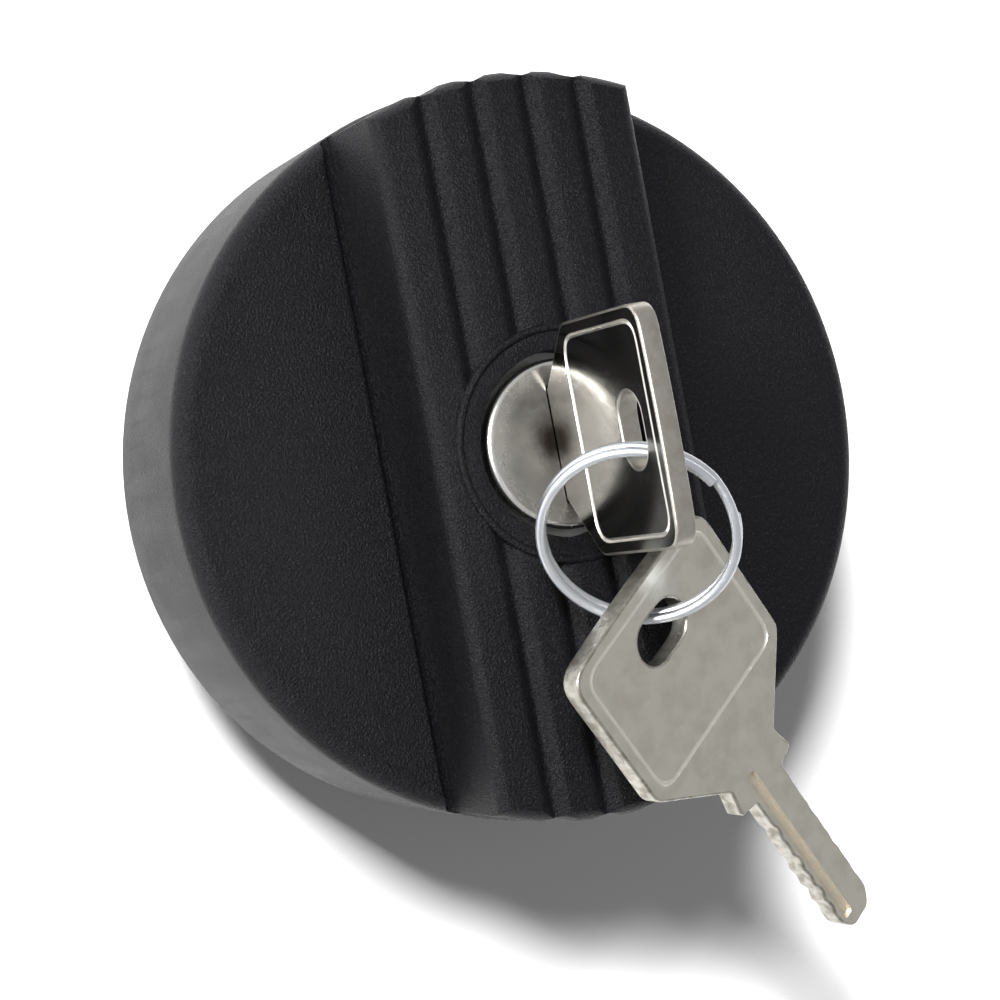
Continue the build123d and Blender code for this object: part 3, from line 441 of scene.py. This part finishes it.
def rounded_node(node, name, edge=0.0, angle=30.0):
    """A merged copy of a node's mesh with smooth shading and softened edges."""
    mesh = frame["nodes"][node].data.copy()
    mesh.name = name
    mesh.materials.clear()
    work = bmesh.new()
    work.from_mesh(mesh)
    bmesh.ops.remove_doubles(work, verts=work.verts, dist=2e-6)
    bmesh.ops.dissolve_limit(work, angle_limit=radians(0.6), verts=work.verts, edges=work.edges)
    work.to_mesh(mesh)
    work.free()
    obj = into_object(name, mesh)
    if edge:
        bevel = obj.modifiers.new("edge", "BEVEL")
        bevel.width = edge
        bevel.segments = 2
        bevel.limit_method = "ANGLE"
        bevel.angle_limit = radians(40)
        bevel.harden_normals = False
        settle(obj)
    finish_mesh(obj.data, angle)
    return obj


def settle(obj):
    """Replaces an object's mesh with what its modifiers make of it, and drops them."""
    view = bpy.context.evaluated_depsgraph_get()
    mesh = bpy.data.meshes.new_from_object(obj.evaluated_get(view))
    old = obj.data
    obj.modifiers.clear()
    obj.data = mesh
    mesh.name = obj.name
    bpy.data.meshes.remove(old)


# ------------------------------------------------------- wound wire: ring, bead
def socket_id(tree, name):
    """The identifier of a node group's input."""
    return next(item.identifier for item in tree.interface.items_tree
                if item.item_type == "SOCKET" and item.in_out == "INPUT" and item.name == name)


def wound_wire_tree():
    """Nodes for a wire wound round Z, which may step from one level to the next in one place."""
    tree = bpy.data.node_groups.get("wound wire")
    if tree:
        return tree
    tree = bpy.data.node_groups.new("wound wire", "GeometryNodeTree")
    tree.interface.new_socket("Geometry", in_out="INPUT", socket_type="NodeSocketGeometry")
    for name, value in (("Radius", 0.01), ("Wire Radius", 0.0005), ("Start Angle", 0.0), ("Sweep", 12.56),
                        ("Start Height", 0.0), ("End Height", 0.01), ("Step From", 0.0), ("Step To", 1.0)):
        tree.interface.new_socket(name, in_out="INPUT", socket_type="NodeSocketFloat").default_value = value
    for name, value in (("Path Points", 128), ("Wire Sides", 16)):
        tree.interface.new_socket(name, in_out="INPUT", socket_type="NodeSocketInt").default_value = value
    tree.interface.new_socket("Closed", in_out="INPUT", socket_type="NodeSocketBool").default_value = False
    tree.interface.new_socket("Material", in_out="INPUT", socket_type="NodeSocketMaterial")
    tree.interface.new_socket("Geometry", in_out="OUTPUT", socket_type="NodeSocketGeometry")
    nodes, link = tree.nodes, tree.links.new
    given = nodes.new("NodeGroupInput").outputs
    line = nodes.new("GeometryNodeCurvePrimitiveLine")
    points = nodes.new("GeometryNodeResampleCurve")
    link(line.outputs[0], points.inputs["Curve"])
    link(given["Path Points"], points.inputs["Count"])
    along = nodes.new("GeometryNodeSplineParameter").outputs["Factor"]

    def calc(operation, a, b=None):
        node = nodes.new("ShaderNodeMath")
        node.operation = operation
        link(a, node.inputs[0])
        if b is not None:
            link(b, node.inputs[1])
        return node.outputs[0]

    angle = calc("ADD", calc("MULTIPLY", along, given["Sweep"]), given["Start Angle"])
    climb = nodes.new("ShaderNodeMapRange")
    climb.interpolation_type = "LINEAR"
    link(along, climb.inputs["Value"])
    for label, name in (("From Min", "Step From"), ("From Max", "Step To"), ("To Min", "Start Height"),
                        ("To Max", "End Height")):
        link(given[name], climb.inputs[label])
    spot = nodes.new("ShaderNodeCombineXYZ")
    link(calc("MULTIPLY", calc("COSINE", angle), given["Radius"]), spot.inputs["X"])
    link(calc("MULTIPLY", calc("SINE", angle), given["Radius"]), spot.inputs["Y"])
    link(climb.outputs["Result"], spot.inputs["Z"])
    move = nodes.new("GeometryNodeSetPosition")
    link(points.outputs[0], move.inputs["Geometry"])
    link(spot.outputs[0], move.inputs["Position"])
    loop = nodes.new("GeometryNodeSetSplineCyclic")
    link(move.outputs[0], loop.inputs[0])
    link(given["Closed"], loop.inputs["Cyclic"])
    profile = nodes.new("GeometryNodeCurvePrimitiveCircle")
    link(given["Wire Sides"], profile.inputs["Resolution"])
    link(given["Wire Radius"], profile.inputs["Radius"])
    sweep = nodes.new("GeometryNodeCurveToMesh")
    sweep.inputs["Fill Caps"].default_value = True
    link(loop.outputs[0], sweep.inputs["Curve"])
    link(profile.outputs[0], sweep.inputs["Profile Curve"])
    real = nodes.new("GeometryNodeRealizeInstances")
    link(sweep.outputs[0], real.inputs[0])
    paint = nodes.new("GeometryNodeSetMaterial")
    link(real.outputs[0], paint.inputs["Geometry"])
    link(given["Material"], paint.inputs["Material"])
    link(paint.outputs[0], nodes.new("NodeGroupOutput").inputs[0])
    return tree


def wind(name, finish, place, **values):
    """One wound wire as a plain mesh in its place."""
    obj = into_object(name, bpy.data.meshes.new(name))
    modifier = obj.modifiers.new("wire", "NODES")
    modifier.node_group = wound_wire_tree()
    for label, value in values.items():
        modifier[socket_id(modifier.node_group, label.replace("_", " "))] = value
    modifier[socket_id(modifier.node_group, "Material")] = finish_of(finish)
    settle(obj)
    obj.data.transform(place)
    work = bmesh.new()
    work.from_mesh(obj.data)
    bmesh.ops.remove_doubles(work, verts=work.verts, dist=1e-7)
    bmesh.ops.recalc_face_normals(work, faces=work.faces)
    work.to_mesh(obj.data)
    work.free()
    finish_mesh(obj.data, 50)
    return obj


# ------------------------------------------------------------------ the shell
class CAP_OT_shell(bpy.types.Operator):
    """Makes the ribbed outer shell and the bead round its lock"""
    bl_idname = "cap.shell"
    bl_label = "Outer shell"

    def execute(self, context):
        obj = rounded_node("outer_shell", "shell_skin", 0.00025)
        dress(obj, "cap", "black_shell", ["black_shell"], "outer_shell")
        place = Matrix.Translation((0, 0, BEAD_Z * MM))
        bead = wind("collar_bead", "black_shell", place, Radius=BEAD_R * MM, Wire_Radius=BEAD_WIRE * MM,
                    Sweep=tau, Start_Height=0.0, End_Height=0.0, Path_Points=145, Closed=True)
        dress(bead, "cap", "black_shell", [])
        return {"FINISHED"}


class CAP_OT_closure(bpy.types.Operator):
    """Makes the closure, its gasket, base plate, valve and screws"""
    bl_idname = "cap.closure"
    bl_label = "Closure"

    def execute(self, context):
        edges = {"closure_body": 0.0002, "seal_plate": 0.0002, "gasket": 0.0003, "base_plate": 0.0002}
        for node in (*edges, "bolt_carrier", "valve_housing", "valve_disc", "valve_seal", "valve_spring",
                     "shell_screws", "carrier_screws", "base_screws"):
            edge = edges.get(node, 0.0)
            obj = rounded_node(node, f"{node}_form", edge)
            dress(obj, node_body(node), node_slot(node), [node_slot(node)], node)
            if node == "valve_spring":
                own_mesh(obj)
        return {"FINISHED"}


class CAP_OT_lock(bpy.types.Operator):
    """Makes the lock's face, plug, wafers, cam and bolts"""
    bl_idname = "cap.lock"
    bl_label = "Lock"

    def execute(self, context):
        names = ["lock_housing", "lock_plug", "lock_face_cover", "dust_shutter", "shutter_pin",
                 "shutter_spring", "plug_o_ring", "plug_circlip", "lock_cam", "cam_screw", "lock_bolt_1",
                 "lock_bolt_2"]
        names += [f"wafer_{i}" for i in range(1, 7)] + [f"wafer_spring_{i}" for i in range(1, 7)]
        for node in names:
            obj = rounded_node(node, f"{node}_form", 0.0)
            dress(obj, node_body(node), node_slot(node), [node_slot(node)], node)
        return {"FINISHED"}


# ---------------------------------------------------------------------- keys
def arc_corner(points, radius, steps=6):
    """An outline with each corner that has a radius turned into an arc."""
    outline = []
    count = len(points)
    for i, (x, y, *_) in enumerate(points):
        r = radius[i] if isinstance(radius, (list, tuple)) else radius
        here = Vector((x, y))
        before = Vector(points[i - 1][:2]) - here
        after = Vector(points[(i + 1) % count][:2]) - here
        if r <= 0 or before.length < 1e-9 or after.length < 1e-9:
            outline.append((x, y))
            continue
        half = before.angle(after) / 2
        if half > pi / 2 - 0.02:
            outline.append((x, y))
            continue
        reach = min(r / max(sin(half) / cos(half), 1e-6), 0.48 * before.length, 0.48 * after.length)
        start = here + before.normalized() * reach
        end = here + after.normalized() * reach
        for k in range(steps + 1):
            t = k / steps
            p = start * (1 - t) ** 2 + here * (2 * t * (1 - t)) + end * t ** 2
            outline.append((p.x, p.y))
    return outline


def offset_loop(loop, distance):
    """A closed outline moved to its left by a distance."""
    out = []
    count = len(loop)
    for i, (x, y) in enumerate(loop):
        ax, ay = loop[i - 1]
        bx, by = loop[(i + 1) % count]
        first = Vector((x - ax, y - ay))
        second = Vector((bx - x, by - y))
        if first.length < 1e-9:
            first = second
        if second.length < 1e-9:
            second = first
        na = Vector((-first.y, first.x)).normalized()
        nb = Vector((-second.y, second.x)).normalized()
        mean = na + nb
        mean = na if mean.length < 1e-6 else mean.normalized()
        scale = distance / max(mean.dot(na), 0.4)
        out.append((x + mean.x * scale, y + mean.y * scale))
    return out


def stamped_plate(outline, holes, recesses, half, edge):
    """A flat stamping with rounded edges, pierced holes and coined recesses on both faces.

    The outline runs anticlockwise and the holes clockwise, so that their left is the metal.
    """
    work = bmesh.new()
    steps = 4
    rings = [outline] + holes

    def ring_at(loop, inset, z):
        """A loop of new points, moved inwards by the inset."""
        return [work.verts.new((x, y, z)) for x, y in offset_loop(loop, inset)]

    def wall(low, high, index):
        """Four-sided faces between two loops."""
        count = len(low)
        for i in range(count):
            j = (i + 1) % count
            work.faces.new((low[i], low[j], high[j], high[i])).material_index = index

    def cap(loops, z_up, index):
        """A flat face over the first loop, with the others as its holes."""
        flat = [v for loop in loops for v in loop]
        for tri in tessellate_polygon([[v.co for v in loop] for loop in loops]):
            corners = [flat[k] for k in tri]
            normal = (corners[1].co - corners[0].co).cross(corners[2].co - corners[0].co)
            if (normal.z < 0) == z_up:
                corners.reverse()
            try:
                work.faces.new(corners).material_index = index
            except ValueError:
                pass

    edges = []
    for loop in rings:
        levels = []
        for k in range(steps + 1):
            angle = pi / 2 * k / steps
            levels.append((edge * (1 - sin(angle)), half - edge + edge * cos(angle)))
        stack = [ring_at(loop, inset, z) for inset, z in levels]
        stack += [ring_at(loop, inset, -z) for inset, z in levels[::-1]]
        for upper, lower in zip(stack, stack[1:]):
            wall(lower, upper, 1)
        edges.append((stack[0], stack[-1]))
    for side in (1, -1):
        pick = 0 if side > 0 else 1
        z = side * half
        outer_loops = [edges[0][pick]]
        inside = set()
        for panel, levels, index, held in recesses:
            turned = panel if side > 0 else [(x, -y) for x, y in reversed(panel)]
            rim = [work.verts.new((x, y, z)) for x, y in turned]
            outer_loops.append(rim)
            for slope, depth in levels:
                bed = [work.verts.new((x, y, z - side * depth)) for x, y in offset_loop(turned, slope)]
                if side > 0:
                    wall(bed, rim, 2)
                else:
                    wall(rim, bed, 2)
                rim = bed
            holes_here = []
            for number in held:
                edge_loop = edges[number + 1][pick]
                for v in edge_loop:
                    v.co.z -= side * levels[-1][1]
                holes_here.append(edge_loop)
                inside.add(number)
            cap([rim] + holes_here, side > 0, index)
        for number in range(len(holes)):
            if number not in inside:
                outer_loops.append(edges[number + 1][pick])
        cap(outer_loops, side > 0, 0)
    bmesh.ops.recalc_face_normals(work, faces=work.faces)
    return work


def key_side(bow, cuts):
    """One side of the key in millimetres, as x, half width and corner radius, from the bow to the tip."""
    blade, tip, pitch, first = 2.8, 51.3, 2.5, 34.2
    side = [(0.4, bow, 3.0), (18.2, bow, 2.2), (25.8, 4.6, 0.6), (28.6, 5.2, 0.35), (29.0, 4.95, 0.2),
            (29.5, blade, 0.5)]
    steps = 8
    for i, depth in enumerate(cuts):
        for k in range(-steps // 2 + 1, steps // 2 + 1):
            wave = (0.5 + 0.5 * cos(2 * pi * k / steps)) ** 0.8
            side.append((first + (i + k / steps) * pitch, blade - depth * wave, 0))
    return side + [(tip - 1.9, blade - 0.05, 1.8), (tip, 1.6, 1.4)]


def key_outline(bow, cuts):
    """The whole outline, run anticlockwise; the bow's outer end swells a little."""
    lower = [(x, -y, r) for x, y, r in key_side(bow, cuts[::-1])]
    upper = key_side(bow, [depth * SHALLOW_SIDE for depth in cuts])[::-1]
    end = [(0.4 * (y / bow) ** 2, y, 0) for y in (bow * 0.55, bow * 0.25, 0.0, -bow * 0.25, -bow * 0.55)]
    loop = lower + upper + end
    return arc_corner([(x, y) for x, y, r in loop], [r for x, y, r in loop])


def oblong(at, across, along, steps=14):
    """The bow's hole: a slot across the key with round ends, run clockwise."""
    r = along / 2
    half = across / 2 - r
    points = []
    for end, sign in ((half, 1), (-half, -1)):
        for k in range(steps + 1):
            angle = pi * k / steps + (0 if sign > 0 else pi)
            points.append((at + r * cos(angle), end + r * sin(angle)))
    return points[::-1]


def rounded_box(x0, x1, y0, y1, r, steps=6):
    """A box's outline with round corners, run anticlockwise."""
    return arc_corner([(x0, y0), (x1, y0), (x1, y1), (x0, y1)], r, steps)


def make_key(name, place, settings):
    """One key, made flat in millimetres and then laid in its place."""
    bow = settings.bow / MM - BOW_TRIM[name]
    outline = key_outline(bow, CUTS)
    hole = oblong(HOLE_AT, HOLE_ACROSS, HOLE_ALONG)
    depth = settings.panel_depth / MM
    side = bow - PANEL_RIM
    border = [(0.12, depth + 0.1), (0.24, depth + 0.15), (0.36, depth + 0.1), (0.5, depth)]
    panel = (rounded_box(PANEL_FROM, PANEL_TO, -side, side, PANEL_CORNER), border, 0, [0])
    groove = (rounded_box(*GROOVE_BOX), [(GROOVE_SLOPE, GROOVE_DEPTH)], 3, [])
    work = stamped_plate(outline, [hole], [panel, groove], settings.thickness / MM / 2, settings.edge / MM)
    for face in work.faces:
        if face.material_index == 2 and face.calc_center_median().x > GROOVE_STARTS_AT:
            face.material_index = 3
    bmesh.ops.transform(work, matrix=place @ Matrix.Scale(MM, 4), verts=work.verts)
    mesh = bpy.data.meshes.new(name)
    work.to_mesh(mesh)
    work.free()
    finish_mesh(mesh, 40)
    for face in mesh.polygons:
        face.use_smooth = face.material_index in (1, 2)
    return into_object(name, mesh)


def axes(origin, x, y, z):
    """A matrix from an origin in millimetres and three directions."""
    matrix = Matrix((x, y, z)).transposed().to_4x4()
    matrix.translation = Vector(origin) * MM
    return matrix


SPARE_ALONG = Vector((0.524, -0.805, -0.278)).normalized()
SPARE_ACROSS = Vector((0.3128, -0.1217, 0.942)).cross(SPARE_ALONG).normalized()
SPARE_HOLE = Vector((1.64, -20.81, 32.09))


class CAP_OT_keys(bpy.types.Operator):
    """Makes the key in the lock and the spare key"""
    bl_idname = "cap.keys"
    bl_label = "Keys"

    def execute(self, context):
        settings = context.scene.cap_keys
        lock = axes((0, 0, KEY_OUT_Z), Vector((0, 0, -1)), Vector((0, -1, 0)), Vector((-1, 0, 0)))
        spare = axes(SPARE_HOLE - SPARE_ALONG * HOLE_AT, SPARE_ALONG, SPARE_ACROSS,
                     SPARE_ALONG.cross(SPARE_ACROSS))
        for name, place, body, slot, node in (("key_in_lock", lock, "key", "key_bright", "lock_key"),
                                              ("key_on_ring", spare, "spare", "key_satin", "spare_key")):
            obj = make_key(name, place, settings)
            dress(obj, body, slot, [slot, f"{slot}_edge", "key_line", "key_groove"], node)
        return {"FINISHED"}


class CAP_OT_ring(bpy.types.Operator):
    """Makes the split ring"""
    bl_idname = "cap.ring"
    bl_label = "Split ring"

    def execute(self, context):
        settings = context.scene.cap_ring
        axis = Vector((-0.523, -0.473, 0.709)).normalized()
        across = Vector((0.709, 0, 0.523)).normalized()
        place = axes((0.14, -10.53, 35.67), across, axis.cross(across), axis)
        level = settings.wire + 0.015 * MM
        obj = wind("ring_wire", "ring_zinc", place, Radius=settings.radius, Wire_Radius=settings.wire,
                   Start_Angle=radians(RING_START), Sweep=radians(RING_SWEEP), Start_Height=level,
                   End_Height=-level, Step_From=RING_STEP[0] / RING_SWEEP, Step_To=RING_STEP[1] / RING_SWEEP,
                   Path_Points=320, Wire_Sides=20)
        dress(obj, "ring", "ring_zinc", [], "split_ring")
        return {"FINISHED"}


# --------------------------------------------------------------------- stage
def aim(obj, place, target):
    """Puts an object in its place, with its -Z towards the target."""
    turn = (Vector(target) - Vector(place)).to_track_quat("-Z", "Y")
    obj.matrix_world = Matrix.Translation(Vector(place)) @ turn.to_matrix().to_4x4()


def soft_lamp(name, place, size, power, diffuse=True, glossy=True):
    """A square lamp aimed at the cap, for matt or mirrored light or both."""
    lamp = bpy.data.lights.new(name, "AREA")
    lamp.shape = "SQUARE"
    lamp.size = size
    lamp.energy = power
    obj = bpy.data.objects.new(name, lamp)
    obj.visible_diffuse = diffuse
    obj.visible_glossy = glossy
    bpy.context.scene.collection.objects.link(obj)
    aim(obj, place, (0, 0, 0))


def floor_material(colour):
    """A pale floor that shows near white to the camera and in reflections, and still takes the shadow."""
    material = bpy.data.materials.new("pale floor")
    material.use_nodes = True
    tree = material.node_tree
    shader = tree.nodes["Principled BSDF"]
    shader.inputs["Base Color"].default_value = (*colour, 1)
    shader.inputs["Roughness"].default_value = 0.9
    shader.inputs["Specular IOR Level"].default_value = 0.1
    glow = tree.nodes.new("ShaderNodeEmission")
    glow.inputs["Color"].default_value = (1, 1, 1, 1)
    path = tree.nodes.new("ShaderNodeLightPath")
    seen = math_node(tree, "MAXIMUM", path.outputs["Is Camera Ray"], path.outputs["Is Glossy Ray"])
    mix = tree.nodes.new("ShaderNodeMixShader")
    place = tree.nodes.new("ShaderNodeTexCoord").outputs["Object"]
    away = tree.nodes.new("ShaderNodeVectorMath")
    away.operation = "LENGTH"
    tree.links.new(place, away.inputs[0])
    share = math_node(tree, "MAXIMUM", ramp(tree, away.outputs["Value"], 0.12, 0.35), 0.03)
    tree.links.new(math_node(tree, "MULTIPLY", seen, share), mix.inputs[0])
    tree.links.new(shader.outputs[0], mix.inputs[1])
    tree.links.new(glow.outputs[0], mix.inputs[2])
    tree.links.new(mix.outputs[0], tree.nodes["Material Output"].inputs["Surface"])
    return material


class CAP_OT_stage(bpy.types.Operator):
    """Makes the floor, the lamps, the world and the camera"""
    bl_idname = "cap.stage"
    bl_label = "Stage"

    def execute(self, context):
        scene = context.scene
        scene.view_settings.view_transform = "Standard"
        floor = bmesh.new()
        bmesh.ops.create_grid(floor, x_segments=1, y_segments=1, size=3.0)
        mesh = bpy.data.meshes.new("floor")
        floor.to_mesh(mesh)
        floor.free()
        mesh.transform(Matrix.Translation((0, 0, cad_bounds[0][2] - 0.0002)))
        obj = into_object("floor", mesh)
        mesh.materials.append(floor_material(tuple(scene.cap_finish.floor)))

        world = scene.world or bpy.data.worlds.new("soft room")
        scene.world = world
        world.use_nodes = True
        tree = world.node_tree
        back = tree.nodes["Background"]
        path = tree.nodes.new("ShaderNodeLightPath")
        mirrored = math_node(tree, "MULTIPLY_ADD", path.outputs["Is Glossy Ray"], 0.3, 0.18)
        strength = math_node(tree, "MAXIMUM", path.outputs["Is Camera Ray"], mirrored)
        back.inputs["Color"].default_value = (1, 1, 1, 1)
        tree.links.new(strength, back.inputs["Strength"])

        soft_lamp("key_lamp", (-0.37, 0.39, 0.83), 0.18, 22.5, glossy=False)
        soft_lamp("sheen_lamp", (-0.66, 0.22, 0.62), 0.3, 17.0, diffuse=False)

        lens = bpy.data.cameras.new("camera")
        lens.lens = 98.11
        lens.sensor_width = 36.0
        lens.clip_start = 0.01
        view = bpy.data.objects.new("camera", lens)
        scene.collection.objects.link(view)
        right = Vector((0.9032, -0.18517, 0.38721))
        up = Vector((0.1757, 0.98261, 0.06))
        forward = Vector((0.3916, -0.01385, -0.92004))
        view.matrix_world = axes((-120.45, -0.65, 285.26), right, up, -forward)
        scene.camera = view
        return {"FINISHED"}


class CAP_PT_panel(bpy.types.Panel):
    """Lists the pieces of the filler cap"""
    bl_idname = "CAP_PT_panel"
    bl_label = "Filler Cap"
    bl_space_type = "VIEW_3D"
    bl_region_type = "UI"
    bl_category = "Filler Cap"

    def draw(self, context):
        for operator in OPERATORS:
            self.layout.operator(operator.bl_idname)


SETTINGS = {"cap_keys": KeySettings, "cap_ring": RingSettings, "cap_finish": FinishSettings}
OPERATORS = (CAP_OT_shell, CAP_OT_closure, CAP_OT_lock, CAP_OT_keys, CAP_OT_ring, CAP_OT_stage)


def register():
    for name, settings in SETTINGS.items():
        bpy.utils.register_class(settings)
        setattr(bpy.types.Scene, name, bpy.props.PointerProperty(type=settings))
    for item in (*OPERATORS, CAP_PT_panel):
        bpy.utils.register_class(item)


def unregister():
    for item in reversed((*OPERATORS, CAP_PT_panel)):
        bpy.utils.unregister_class(item)
    for name, settings in SETTINGS.items():
        delattr(bpy.types.Scene, name)
        bpy.utils.unregister_class(settings)


def main():
    register()
    bpy.ops.cap.stage()
    bpy.ops.cap.shell()
    bpy.ops.cap.closure()
    bpy.ops.cap.lock()
    bpy.ops.cap.keys()
    bpy.ops.cap.ring()


if __name__ == "__main__":
    main()
